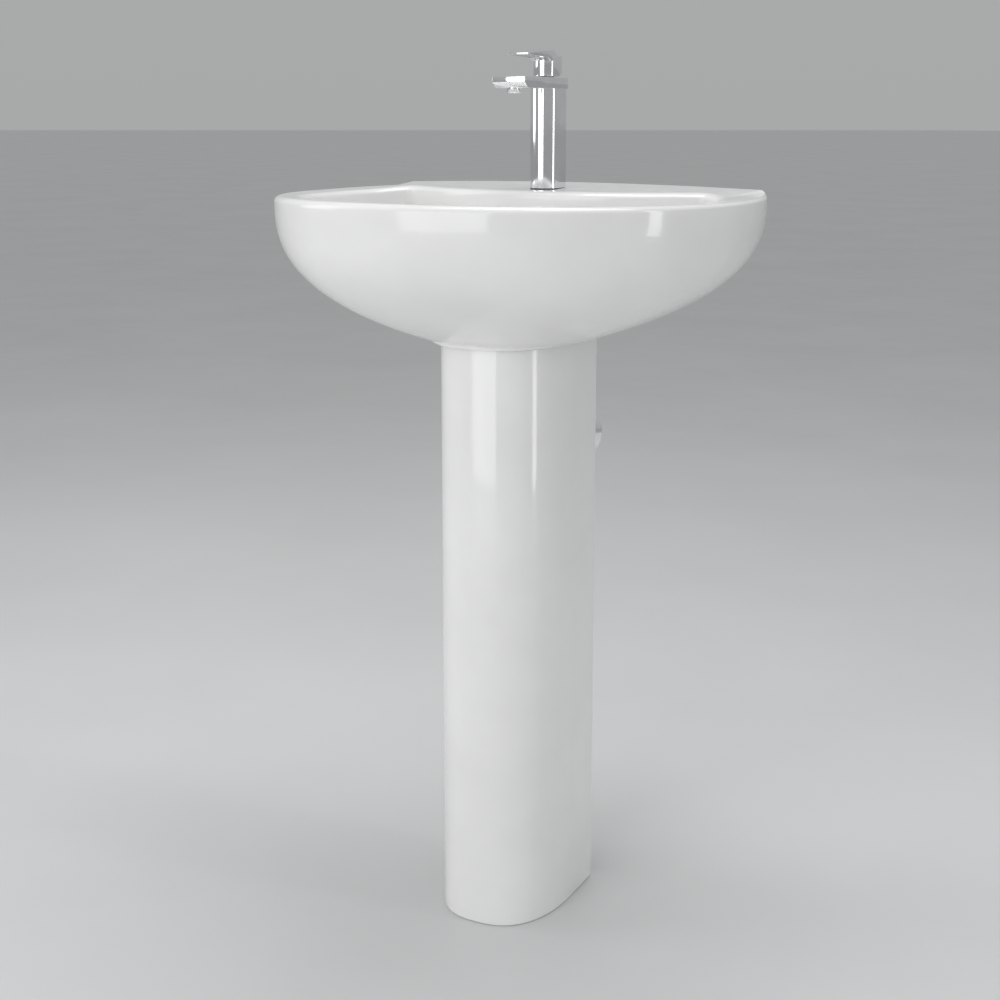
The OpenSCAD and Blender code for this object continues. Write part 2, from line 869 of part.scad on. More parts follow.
basin();
pedestal();
pedestal_pads();
wall_studs();
stud_bushes();
stud_washers();
stud_nuts();
tap_body();
tap_base_seal();
tap_stud();
tap_rubber_washer();
tap_metal_washer();
tap_nut();
inlet_nipples();
aerator_housing();
aerator_insert();
cartridge();
cartridge_seal();
cartridge_nut();
cartridge_turret();
turret_pin();
cartridge_stem();
lever_handle();
lever_grub_screw();
index_plug();
waste_body();
waste_top_seal();
waste_bottom_seal();
waste_backnut();
waste_plug();
plug_seal();
plug_stem();
click_capsule();
plug_spring();
overflow_ring();
trap_union_nut();
trap_inlet_washer();
trap_inlet_tube();
trap_gland_nut();
trap_gland_seal();
trap_body();
trap_cup();
trap_cup_seal();
trap_outlet_nut();
trap_outlet_seal();
trap_outlet_tube();
wall_rosette();
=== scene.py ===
"""Full pedestal wash basin: the camera, the looks and the finer ceramic and chrome shapes."""
import json
import math

import bmesh
import bpy
import numpy as np
from mathutils import Matrix, Vector


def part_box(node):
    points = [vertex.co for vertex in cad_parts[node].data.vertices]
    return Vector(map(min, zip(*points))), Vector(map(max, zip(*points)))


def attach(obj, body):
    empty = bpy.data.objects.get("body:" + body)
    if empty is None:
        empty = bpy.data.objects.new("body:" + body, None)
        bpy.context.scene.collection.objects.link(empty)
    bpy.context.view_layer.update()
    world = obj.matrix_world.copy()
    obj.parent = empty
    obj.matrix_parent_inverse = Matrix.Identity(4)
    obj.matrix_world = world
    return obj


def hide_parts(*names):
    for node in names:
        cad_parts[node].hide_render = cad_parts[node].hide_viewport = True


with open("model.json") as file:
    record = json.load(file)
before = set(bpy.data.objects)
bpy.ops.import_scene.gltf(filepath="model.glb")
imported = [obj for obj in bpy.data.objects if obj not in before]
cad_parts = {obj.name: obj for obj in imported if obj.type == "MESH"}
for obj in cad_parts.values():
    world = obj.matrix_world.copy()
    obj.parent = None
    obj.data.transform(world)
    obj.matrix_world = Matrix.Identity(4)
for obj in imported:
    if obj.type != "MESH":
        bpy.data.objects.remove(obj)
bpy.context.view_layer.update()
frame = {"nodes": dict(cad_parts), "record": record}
NODES = frame["nodes"]
MM = 0.001


# ---------------------------------------------------------------- driving dimensions
# Lengths are in millimetres in the part's own frame: the floor is Z = 0, the front faces -Y,
# and every shape is symmetric about X = 0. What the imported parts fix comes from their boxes.

BASIN_LOW, BASIN_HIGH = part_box("basin")
TAP_LOW, TAP_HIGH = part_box("tap_body")
PED_LOW, PED_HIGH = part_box("pedestal")
AERATOR_LOW, AERATOR_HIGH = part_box("aerator_housing")
LEVER_LOW, LEVER_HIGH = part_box("lever_handle")

WALL_Y = BASIN_HIGH.y / MM
FRONT_Y = BASIN_LOW.y / MM

# Pedestal: an oval front, centred at NECK_Y, with flat sides running back
PED_HALF_W = PED_HIGH.x / MM
PED_H = PED_HIGH.z / MM
PED_FRONT_Y = PED_LOW.y / MM
PED_BACK_Y = PED_HIGH.y / MM
PED_WALL = 11.0
PED_ARRIS = 2.6
PED_END_ROUND = 3.5
WEB_HALF_D = 24.0
WEB_H = 14.0
WEB_INSET = 5.0
FLOOR_SCREW_X = 40.0
FLOOR_SCREW_R = 4.5

# Rim: an oval that the wall cuts off, with a rolled edge that is fuller at the front
RIM_HALF_W = BASIN_HIGH.x / MM
RIM_Y = WALL_Y - 160.0
RIM_FRONT_B = RIM_Y - FRONT_Y
RIM_BACK_B = 307.0
RIM_N = 2.2
RIM_FRONT_Z = 870.5
RIM_SIDE_Z = 866.0
RIM_FALL = 1.0
ROLL_IN_SIDE = 5.0
ROLL_IN_FRONT = 11.0
ROLL_DROP_SIDE = 4.0
ROLL_DROP_FRONT = 8.0

# Ledge behind the bowl; the climbs are in degrees round from the side, at the crest and at the mouth
LEDGE_Z = 874.0
LEDGE_SLOPE = 0.035
LEDGE_CROWN = 4.0
LEDGE_CROWN_X = 240.0
LEDGE_EDGE_ROUND = 3.0
CREST_CLIMB_START = 25.0
CREST_CLIMB = 4.5
MOUTH_CLIMB_START = 12.0
MOUTH_CLIMB = 30.0
BULGE = 102.0
BULGE_HALF_W = 200.0
BULGE_FLATNESS = 3
BULGE_FADE = 1.3

# Underside: it draws in to a neck that the pedestal stands in
SKIRT = 6.5
NECK_Y = 13.0
NECK_A = PED_HALF_W + SKIRT
NECK_B = NECK_Y - PED_FRONT_Y + SKIRT
NECK_N = 2.5
FRONT_PULL = 1.1
SHELL_CURVE = (2.6, 0.9)
SHELL_Z = 700.0
POCKET_GAP = 1.5
POCKET_Z = PED_H + 2.0
CORNER_ROUND = 4.0
LAST_CORNER = 80.0

# Mouth, bowl and drain
MOUTH_Y = -10.0
MOUTH_A = RIM_HALF_W - 36.0
MOUTH_FRONT_B = MOUTH_Y - FRONT_Y - 24.0
MOUTH_BACK_B = 150.0
MOUTH_FRONT_N = 2.2
MOUTH_BACK_N = 2.6
LIP_FRONT = 9.0
LIP_BACK = 13.0
LIP_DROP = 6.0
BOWL_CURVE = (3, 0.62)
BOWL_FLOOR_Z = 742.0
DRAIN_Y = -5.0
DRAIN_R = 34.0
RECESS_R = 32.5
RECESS_Z = 738.0
WASTE_HOLE_R = 22.5
WASTE_MID_Z = 720.0

# Hollow behind the bowl, its front edge from the side to the middle, and the opening below it
CAVITY_WALL = 12.0
CAVITY_TOP_Z = 850.0
CAVITY_FRONT = [(150, 118), (105, 84), (45, 62)]
DOOR_HALF_W = 60.0
DOOR_FRONT_Y = 62.0
DOOR_LOW_Z = 650.0
DOOR_HIGH_Z = 760.0

# Holes in the basin
TAP_AXIS_Y = WALL_Y - 96.0
TAP_HOLE_R = 16.0
TAP_HOLE_LOW_Z = 840.0
TAP_HOLE_HIGH_Z = 900.0
OVERFLOW_R = 11.0
OVERFLOW_PLACE = (0, 20, 830)
OVERFLOW_LENGTH = 26.0
STUD_HOLE_R = 8.0
STUD_HOLE_LENGTH = 60.0
STUD_X = 120.0
STUD_START_Y = 150.0
STUD_Z = 805.0

# Tap: the column's round front is centred ahead of the tap's axis
COLUMN_R = 18.0
COLUMN_BACK = 21.0
ROUND_Y = TAP_AXIS_Y - 3
BODY_Z = TAP_LOW.z / MM
SPOUT_TOP = TAP_HIGH.z / MM
SPOUT_BOTTOM = SPOUT_TOP - 13.0
SPOUT_HALF_W = TAP_HIGH.x / MM
SPOUT_BACK_Y = TAP_AXIS_Y + 16
NOSE_Y = TAP_LOW.y / MM
NOSE_FACE = 6.5
NOSE_SLOPE = 8.0
CARTRIDGE_R = 13.0
NUT_R = 14.0
CHAMBER_Z = SPOUT_TOP - 41
NUT_Z = SPOUT_TOP - 7
FOOT_HOLLOW_R = 14.5
AERATOR_Y = (AERATOR_LOW.y + AERATOR_HIGH.y) / 2 / MM
AERATOR_R = 8.0
AERATOR_BORE_R = 6.5

# Lever: a hub with a thin blade, hinged just above the spout
HUB_R = 14.5
HUB_BACK = 15.0
HUB_BOTTOM = LEVER_LOW.z / MM
HUB_TOP = SPOUT_TOP + 25
BLADE_TIP_Y = LEVER_LOW.y / MM
BLADE_TOP = LEVER_HIGH.z / MM
BLADE_HALF_W = 13.0
PIVOT_Z = SPOUT_TOP + 3
HEEL_TILT = math.radians(21)
HEEL_DROP = 2.6
STEM_HOLLOW_R = 11.0
GRUB_SCREW_R = 2.5

# How finely the ceramic is divided
ARC_POINTS = 96
BACK_POINTS = 44
CROWDING = 0.8
WALL_RINGS = 44
CAVITY_RINGS = 12
DECK_SHARES = (0, 0.006, 0.014, 0.025, 0.06, 0.12, 0.22, 0.36, 0.52, 0.70, 0.86, 0.95)

# A turned cutter starts just off its axis, and the wide cutters run on below the shell
AXIS_GAP = 0.01
CUTTER_RUN = 20.0


# ---------------------------------------------------------------- camera and stage, in metres

def make_camera():
    """The photograph's own place: right of the middle, at eye height, looking a little down."""
    data = bpy.data.cameras.new("camera")
    data.sensor_width = 36.0
    data.lens = 57.0
    data.shift_y = -0.088
    data.clip_start = 0.05
    data.clip_end = 60.0
    camera = bpy.data.objects.new("camera", data)
    bpy.context.scene.collection.objects.link(camera)
    camera.location = (0.8255, -1.657, 0.970)
    camera.rotation_euler = (math.radians(90 - 11.0), 0.0, math.radians(27.02))
    bpy.context.scene.camera = camera
    bpy.context.scene.view_settings.view_transform = "Standard"


def area_light(name, place, target, size, power):
    """A white rectangle of light, aimed from its place at a target."""
    data = bpy.data.lights.new(name, "AREA")
    data.shape = "RECTANGLE"
    data.size, data.size_y = size
    data.energy = power
    light = bpy.data.objects.new(name, data)
    bpy.context.scene.collection.objects.link(light)
    light.location = place
    light.rotation_euler = (Vector(target) - Vector(place)).to_track_quat("-Z", "Y").to_euler()


def make_lights():
    area_light("front_softbox", place=(-0.55, -3.3, 1.25), target=(0, 0, 0.75), size=(2.3, 2.4), power=44)
    area_light("right_strip", place=(2.7, 0.15, 1.1), target=(0, 0, 0.8), size=(0.35, 2.0), power=10)
    area_light("left_fill", place=(-2.4, -0.9, 1.7), target=(0, 0, 0.7), size=(1.2, 1.8), power=12)
    area_light("top", place=(0.1, 0.3, 2.9), target=(0, 0, 0.8), size=(2.0, 1.4), power=28)


def make_world():
    """A plain grey studio, a little lighter overhead."""
    world = bpy.data.worlds.new("studio")
    bpy.context.scene.world = world
    world.use_nodes = True
    tree = world.node_tree
    coord = tree.nodes.new("ShaderNodeTexCoord")
    split = tree.nodes.new("ShaderNodeSeparateXYZ")
    ramp = tree.nodes.new("ShaderNodeValToRGB")
    back = tree.nodes["Background"]
    tree.links.new(coord.outputs["Generated"], split.inputs[0])
    tree.links.new(split.outputs["Z"], ramp.inputs[0])
    tree.links.new(ramp.outputs[0], back.inputs["Color"])
    ramp.color_ramp.elements[0].color = (0.48, 0.483, 0.487, 1)
    ramp.color_ramp.elements[1].color = (0.60, 0.603, 0.607, 1)
    back.inputs["Strength"].default_value = 0.82


# ---------------------------------------------------------------- materials

# The part of a noise's range that a finish is spread over
NOISE_LOW = 0.3
NOISE_HIGH = 0.7


class Shader:
    """A material's node tree, with a short call for each part of a finish. Noise scales are per metre."""

    def __init__(self, name):
        self.material = bpy.data.materials.new(name)
        self.material.use_nodes = True
        self.tree = self.material.node_tree
        self.main = self.tree.nodes["Principled BSDF"]
        self.coord = self.tree.nodes.new("ShaderNodeTexCoord")

    def node(self, kind, source, socket, **values):
        """A new node that takes source at one input and plain values at others."""
        made = self.tree.nodes.new(kind)
        self.tree.links.new(source, made.inputs[socket])
        for name, value in values.items():
            made.inputs[name.replace("_", " ")].default_value = value
        return made

    def noise(self, scale, detail, rough=0.55, stretch=(1, 1, 1)):
        place = self.node("ShaderNodeMapping", self.coord.outputs["Object"], "Vector", Scale=stretch)
        made = self.node(
            "ShaderNodeTexNoise", place.outputs[0], "Vector", Scale=scale, Detail=detail, Roughness=rough
        )
        return made.outputs["Fac"]

    def tint(self, noise, low, high):
        """The colour drifts between two tones."""
        ramp = self.node("ShaderNodeValToRGB", noise, 0)
        ends = zip(ramp.color_ramp.elements, (NOISE_LOW, NOISE_HIGH), (low, high))
        for element, place, tone in ends:
            element.position = place
            element.color = (*tone, 1)
        self.tree.links.new(ramp.outputs[0], self.main.inputs["Base Color"])

    def rough(self, noise, low, high):
        """The roughness drifts between two values."""
        spread = self.node(
            "ShaderNodeMapRange", noise, "Value",
            From_Min=NOISE_LOW, From_Max=NOISE_HIGH, To_Min=low, To_Max=high,
        )
        self.tree.links.new(spread.outputs[0], self.main.inputs["Roughness"])

    def bump(self, noise, strength, depth):
        """A fine relief, its depth in metres."""
        relief = self.node("ShaderNodeBump", noise, "Height", Strength=strength, Distance=depth)
        self.tree.links.new(relief.outputs[0], self.main.inputs["Normal"])

    def set(self, **values):
        for name, value in values.items():
            self.main.inputs[name.replace("_", " ")].default_value = value


def glazed_white():
    """Vitreous china: a faint drift of tone under a clear, very slightly rippled glaze."""
    s = Shader("glazed_white")
    s.tint(s.noise(7.0, 5.0), (0.79, 0.79, 0.785), (0.85, 0.85, 0.845))
    s.rough(s.noise(38.0, 3.0), 0.10, 0.17)
    s.bump(s.noise(24.0, 2.0), strength=0.035, depth=0.0015)
    s.set(Metallic=0.0, IOR=1.45, Coat_Weight=0.35, Coat_Roughness=0.04, Coat_IOR=1.45)
    return s.material


def polished_chrome():
    """Bright chrome plate with a trace of wiping marks in its gloss."""
    s = Shader("polished_chrome")
    s.tint(s.noise(30.0, 3.0), (0.80, 0.805, 0.82), (0.88, 0.885, 0.89))
    s.rough(s.noise(60.0, 6.0, rough=0.65, stretch=(1, 1, 0.35)), 0.035, 0.085)
    s.bump(s.noise(90.0, 2.0), strength=0.012, depth=0.0004)
    s.set(Metallic=1.0)
    return s.material


def raw_brass():
    """Turned brass, with fine tool rings and a dull bloom."""
    s = Shader("raw_brass")
    s.tint(s.noise(45.0, 5.0), (0.52, 0.36, 0.14), (0.74, 0.56, 0.26))
    s.rough(s.noise(160.0, 4.0), 0.24, 0.42)
    s.bump(s.noise(700.0, 2.0, rough=0.5, stretch=(0.2, 0.2, 6)), strength=0.10, depth=0.0003)
    s.set(Metallic=1.0)
    return s.material


def zinc_steel():
    """Zinc-plated steel, a little blue and cloudy."""
    s = Shader("zinc_steel")
    s.tint(s.noise(80.0, 5.0), (0.50, 0.52, 0.55), (0.68, 0.70, 0.72))
    s.rough(s.noise(220.0, 4.0), 0.26, 0.45)
    s.bump(s.noise(500.0, 3.0), strength=0.10, depth=0.0003)
    s.set(Metallic=1.0)
    return s.material


def black_rubber():
    """Soft matt rubber with a fine moulded grain."""
    s = Shader("black_rubber")
    s.tint(s.noise(120.0, 5.0), (0.018, 0.018, 0.019), (0.045, 0.045, 0.046))
    s.rough(s.noise(300.0, 4.0), 0.62, 0.82)
    s.bump(s.noise(900.0, 3.0), strength=0.22, depth=0.0003)
    return s.material


def pale_plastic():
    """Pale moulded plastic, half glossy."""
    s = Shader("pale_plastic")
    s.tint(s.noise(60.0, 4.0), (0.70, 0.70, 0.68), (0.80, 0.80, 0.78))
    s.rough(s.noise(250.0, 3.0), 0.36, 0.5)
    s.bump(s.noise(700.0, 3.0), strength=0.12, depth=0.0003)
    return s.material


def index_enamel():
    """The small plain red plug in the back of the lever's hub."""
    s = Shader("index_enamel")
    s.tint(s.noise(400.0, 3.0), (0.42, 0.03, 0.03), (0.58, 0.06, 0.05))
    s.rough(s.noise(500.0, 3.0), 0.12, 0.22)
    s.bump(s.noise(1200.0, 2.0), strength=0.05, depth=0.0002)
    return s.material


def floor_paint():
    """Matt grey paint, slightly uneven."""
    s = Shader("floor_paint")
    s.tint(s.noise(1.6, 6.0), (0.64, 0.643, 0.647), (0.68, 0.683, 0.687))
    s.rough(s.noise(9.0, 5.0), 0.50, 0.62)
    s.bump(s.noise(60.0, 4.0), strength=0.05, depth=0.001)
    return s.material


# ---------------------------------------------------------------- mesh helpers

def link_mesh(name, points, faces):
    mesh = bpy.data.meshes.new(name)
    mesh.from_pydata([tuple(p) for p in points], [], [tuple(f) for f in faces])
    mesh.validate()
    obj = bpy.data.objects.new(name, mesh)
    bpy.context.scene.collection.objects.link(obj)
    return obj


def skin(name, rings, closed=False):
    """A surface through rings of equal length. Closed, the last joins the first; else both are capped."""
    rings = np.asarray(rings, float) * MM
    m, n = rings.shape[:2]
    faces = []
    for j in range(m if closed else m - 1):
        p = j * n
        q = ((j + 1) % m) * n
        faces += [(p + i, p + (i + 1) % n, q + (i + 1) % n, q + i) for i in range(n)]
    if not closed:
        faces.append(tuple(range(n - 1, -1, -1)))
        faces.append(tuple((m - 1) * n + i for i in range(n)))
    return link_mesh(name, rings.reshape(-1, 3), faces)


def face_outward(obj):
    """Merges points that lie together and turns every face outward."""
    work = bmesh.new()
    work.from_mesh(obj.data)
    bmesh.ops.remove_doubles(work, verts=work.verts, dist=1e-6)
    bmesh.ops.recalc_face_normals(work, faces=work.faces)
    work.to_mesh(obj.data)
    work.free()
    return obj


def smooth(obj, angle):
    """Smooth faces, with a crease wherever two faces meet more sharply than the angle."""
    work = bmesh.new()
    work.from_mesh(obj.data)
    limit = math.radians(angle)
    for face in work.faces:
        face.smooth = True
    for edge in work.edges:
        edge.smooth = len(edge.link_faces) == 2 and edge.calc_face_angle(0.0) < limit
    work.to_mesh(obj.data)
    work.free()


def apply_modifiers(obj):
    graph = bpy.context.evaluated_depsgraph_get()
    mesh = bpy.data.meshes.new_from_object(obj.evaluated_get(graph))
    obj.modifiers.clear()
    old = obj.data
    obj.data = mesh
    bpy.data.meshes.remove(old)


def cut(obj, *cutters, mode="DIFFERENCE"):
    """Booleans with each cutter in turn; the cutters are used up."""
    for cutter in cutters:
        mod = obj.modifiers.new("cut", "BOOLEAN")
        mod.operation = mode
        mod.solver = "EXACT"
        mod.object = cutter
        apply_modifiers(obj)
        bpy.data.objects.remove(cutter, do_unlink=True)


def bevel(obj, width, segments, angle):
    """Rounds every edge that turns by more than the angle."""
    mod = obj.modifiers.new("bevel", "BEVEL")
    mod.width = width * MM
    mod.segments = segments
    mod.limit_method = "ANGLE"
    mod.angle_limit = math.radians(angle)
    mod.use_clamp_overlap = True
    mod.harden_normals = False
    apply_modifiers(obj)


def lathe(name, outline, centre, axis="Z", steps=64):
    """Turns a closed outline of (radius, height) about an axis through a centre."""
    turn = {"Z": Matrix.Identity(3), "Y": Matrix.Rotation(math.radians(-90), 3, "X")}[axis]
    rings = []
    for k in range(steps):
        a = 2 * math.pi * k / steps
        rings.append([
            turn @ Vector((r * math.cos(a), r * math.sin(a), h)) + Vector(centre) for r, h in outline
        ])
    return face_outward(skin(name, rings, closed=True))


def bore(name, radius, low, high, centre, axis="Z", steps=64):
    """A plain round cutter from low to high along its axis."""
    outline = [(AXIS_GAP, low), (radius, low), (radius, high), (AXIS_GAP, high)]
    return lathe(name, outline, centre, axis, steps)


def prism(name, outline, low, high, axis="Z"):
    """An outline extruded along Z, or along X with the outline in (Y, Z)."""
    if axis == "Z":
        rings = [[(x, y, h) for x, y in outline] for h in (low, high)]
    else:
        rings = [[(h, y, z) for y, z in outline] for h in (low, high)]
    return face_outward(skin(name, rings))


def rectangle(half_w, front, back):
    return [(-half_w, front), (half_w, front), (half_w, back), (-half_w, back)]


def round_outline(points, radii, steps=6):
    """Rounds the corners of a closed outline: each corner has its own radius, 0 keeps it sharp."""
    made = []
    for i, radius in enumerate(radii):
        p = Vector(points[i])
        if radius <= 0:
            made.append(tuple(p))
            continue
        a = Vector(points[i - 1]) - p
        b = Vector(points[(i + 1) % len(points)]) - p
        reach = min(radius / math.tan(a.angle(b) / 2), 0.49 * min(a.length, b.length))
        start = p + a.normalized() * reach
        end = p + b.normalized() * reach
        for k in range(steps + 1):
            w = k / steps
            made.append(tuple((1 - w) ** 2 * start + 2 * w * (1 - w) * p + w ** 2 * end))
    return made


def piece(obj, body, slot, *nodes):
    """Gives a finished piece its material, its body and the CAD nodes that it stands for."""
    obj.data.materials.clear()
    obj.data.materials.append(MATERIALS[slot])
    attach(obj, body)
    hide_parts(*nodes)


# ---------------------------------------------------------------- curves, with angles in degrees

def sine(t):
    return math.sin(math.radians(t))


def cosine(t):
    return math.cos(math.radians(t))


def blend(u, v, k):
    return u + (v - u) * k


def ease(k):
    k = min(1.0, max(0.0, k))
    return k * k * (3 - 2 * k)


def soft_min(a, b, k):
    h = max(k - abs(a - b), 0.0) / k
    return min(a, b) - h * h * k / 4


def signed_pow(v, p):
    return math.copysign(abs(v) ** p, v)


def oval(t, a, b, n):
    """A point on an oval that is squarer the larger n is; 2 is an ellipse."""
    return a * signed_pow(cosine(t), 2 / n), b * signed_pow(sine(t), 2 / n)


def draw_in(k, hold, snap):
    """How far a wall has drawn in at a share k of its height: late and then quickly."""
    return 1 - (1 - k ** hold) ** snap


def crowd(j, steps):
    """Evenly counted shares from 0 to 1, crowded towards 1."""
    return 1 - (1 - j / steps) ** 1.7


# ---------------------------------------------------------------- the basin
# Angles run round the basin: -90 is the front, 0 and 180 the sides, 90 the back.

def from_side(t):
    return min(abs(t), abs(180 - t))


def half_turn(corner):
    """Angles from the front round the right side to the back, crowded at the wall corner."""
    arc = [w / ARC_POINTS for w in range(ARC_POINTS)]
    back = [w / BACK_POINTS for w in range(BACK_POINTS + 1)]
    first = [-90 + (corner + 90) * (w + CROWDING * math.sin(math.pi * w) / math.pi) for w in arc]
    last = [corner + (90 - corner) * (w - CROWDING * math.sin(math.pi * w) / math.pi) for w in back]
    return first + last


def full_turn(corner):
    right = half_turn(corner)
    left = [180 - t for t in right[-2:0:-1]]
    return right + left


def wall_corner(y0, b, n):
    """The angle at which an oval crosses the wall plane, kept short of the back."""
    share = (WALL_Y - y0) / b
    if share >= 1:
        return LAST_CORNER
    return min(LAST_CORNER, math.degrees(math.asin(share ** (n / 2))))


def rim_angles():
    return full_turn(wall_corner(RIM_Y, RIM_BACK_B, RIM_N))


def clamp_wall(x, y, z):
    """Holds a point in front of the wall, with a small round corner."""
    return x, soft_min(y, WALL_Y, CORNER_ROUND), z


def past_wall(y):
    """0 clear of the wall, 1 past it."""
    return ease((y - WALL_Y + CORNER_ROUND) / (2 * CORNER_ROUND))


def deck_z(x, y):
    return LEDGE_Z + LEDGE_SLOPE * (y - WALL_Y) - LEDGE_CROWN * (x / LEDGE_CROWN_X) ** 2


def side_z(t):
    return blend(RIM_SIDE_Z, RIM_FRONT_Z, max(0.0, -sine(t)))


def climb(t, start, length):
    """0 on the rim, 1 up on the ledge."""
    return ease((from_side(t) - start) / length) if sine(t) > 0 else 0.0


def crest_climb(t):
    return climb(t, CREST_CLIMB_START, CREST_CLIMB)


def mouth_climb(t):
    return climb(t, MOUTH_CLIMB_START, MOUTH_CLIMB)


def rim_plan(t, inset):
    """A point on the rim's oval from its centre, drawn in by an inset."""
    depth = RIM_FRONT_B if sine(t) < 0 else RIM_BACK_B
    return oval(t, RIM_HALF_W - inset, depth - inset, RIM_N)


def crest_z(t):
    x, y = rim_plan(t, 0.0)
    return blend(side_z(t), deck_z(x, min(RIM_Y + y, WALL_Y)), crest_climb(t))


def mouth_point(t, grow):
    """A point on the bowl's mouth, grown outward; at the back the ledge bulges into it."""
    if sine(t) > 0:
        x, y = oval(t, MOUTH_A + grow, MOUTH_BACK_B + grow, MOUTH_BACK_N)
        bulge = BULGE * max(0.0, 1 - (abs(x) / BULGE_HALF_W) ** BULGE_FLATNESS) ** BULGE_FADE
        return x, MOUTH_Y + y - bulge
    x, y = oval(t, MOUTH_A + grow, MOUTH_FRONT_B + grow, MOUTH_FRONT_N)
    return x, MOUTH_Y + y


def mouth_z(t, x, y):
    return blend(side_z(t) - RIM_FALL, deck_z(x, y), mouth_climb(t))


def roll_in(t):
    """How far the rolled edge draws in."""
    return blend(ROLL_IN_SIDE, ROLL_IN_FRONT, max(0.0, -sine(t)))


def roll_drop(t):
    """How far the rolled edge drops."""
    return blend(ROLL_DROP_SIDE, ROLL_DROP_FRONT, max(0.0, -sine(t)))


def lip_reach(t):
    """How wide the roll into the bowl is: it is softer towards the back."""
    return blend(LIP_FRONT, LIP_BACK, max(0.0, sine(t)))


def shell_ring(k, inset=0.0):
    """The underside, from the rolled edge (0) to the neck (1)."""
    s = draw_in(k, *SHELL_CURVE)
    a = blend(RIM_HALF_W, NECK_A, s) - inset
    y0 = blend(RIM_Y, NECK_Y, s)
    n = blend(RIM_N, NECK_N, s)
    back_b = blend(RIM_BACK_B, NECK_B, s)
    front_b = y0 - blend(FRONT_Y, NECK_Y - NECK_B, min(1.0, FRONT_PULL * s))
    ring = []
    for t in full_turn(wall_corner(y0, back_b, n)):
        x, y = oval(t, a, (front_b if sine(t) < 0 else back_b) - inset, n)
        ring.append(clamp_wall(x, y0 + y, blend(crest_z(t) - roll_drop(t), SHELL_Z, k)))
    return ring


def rim_ring(turn):
    """The rolled edge, from upright (0) to the level crest (90)."""
    ring = []
    for t in rim_angles():
        x, y = rim_plan(t, roll_in(t) * (1 - cosine(turn)))
        drop = roll_drop(t) * (1 - sine(turn))
        level = blend(drop, max(drop, LEDGE_EDGE_ROUND), past_wall(RIM_Y + y))
        ring.append(clamp_wall(x, RIM_Y + y, crest_z(t) - level))
    return ring


def deck_ring(f):
    """From the crest (0) to the edge of the mouth (1); at the wall the ledge has a small round edge."""
    ring = []
    for t in rim_angles():
        x0, y0 = rim_plan(t, roll_in(t))
        behind = past_wall(RIM_Y + y0)
        x0, y0, _ = clamp_wall(x0, RIM_Y + y0, 0.0)
        x1, y1 = mouth_point(t, lip_reach(t))
        x = blend(x0, x1, f)
        y = blend(y0, y1, f)
        near = max(0.0, LEDGE_EDGE_ROUND - (WALL_Y - y))
        arch = math.sqrt(max(0.0, LEDGE_EDGE_ROUND ** 2 - near ** 2))
        round_off = behind * (LEDGE_EDGE_ROUND - arch)
        k = blend(crest_climb(t), mouth_climb(t), f)
        ring.append((x, y, blend(side_z(t) - RIM_FALL * f, deck_z(x, y), k) - round_off))
    return ring


def lip_ring(turn):
    """The rolled inner edge of the mouth, from level (0) to steep (90)."""
    ring = []
    for t in rim_angles():
        x, y = mouth_point(t, lip_reach(t) * (1 - sine(turn)))
        ring.append((x, y, mouth_z(t, x, y) - LIP_DROP * (1 - cosine(turn))))
    return ring


def bowl_ring(k):
    """The bowl's wall, from under the lip (0) to the drain (1)."""
    s = draw_in(k, *BOWL_CURVE)
    ring = []
    for t in rim_angles():
        x, y = mouth_point(t, 0.0)
        z = blend(mouth_z(t, x, y) - LIP_DROP, BOWL_FLOOR_Z, k)
        ring.append((blend(x, DRAIN_R * cosine(t), s), blend(y, DRAIN_Y + DRAIN_R * sine(t), s), z))
    return ring


def drain_ring(radius, z):
    return [(radius * cosine(t), DRAIN_Y + radius * sine(t), z) for t in rim_angles()]


def drain_rings():
    """A small round edge, the recess for the waste's flange, then the waste hole."""
    edge = [
        drain_ring(RECESS_R + 0.5, BOWL_FLOOR_Z - 0.4),
        drain_ring(RECESS_R + 0.1, BOWL_FLOOR_Z - 1.0),
        drain_ring(RECESS_R, RECESS_Z),
    ]
    hole = [drain_ring(WASTE_HOLE_R, z) for z in (RECESS_Z, WASTE_MID_Z, SHELL_Z)]
    return edge + hole


def cavity_cutter():
    """The hollow: the shell drawn in by its wall, kept behind the bowl and under the ledge."""
    rings = [shell_ring(crowd(j, CAVITY_RINGS), CAVITY_WALL) for j in range(CAVITY_RINGS, -1, -1)]
    foot = [(x, y, SHELL_Z - 6) for x, y, _ in rings[0]]
    core = face_outward(skin("core", [foot] + rings))
    half_w = CAVITY_FRONT[0][0]
    back = [(-half_w, WALL_Y - CAVITY_WALL), (half_w, WALL_Y - CAVITY_WALL)]
    plan = back + CAVITY_FRONT + [(-x, y) for x, y in reversed(CAVITY_FRONT)]
    cut(core, prism("plan", plan, SHELL_Z - CUTTER_RUN, CAVITY_TOP_Z), mode="INTERSECT")
    return core


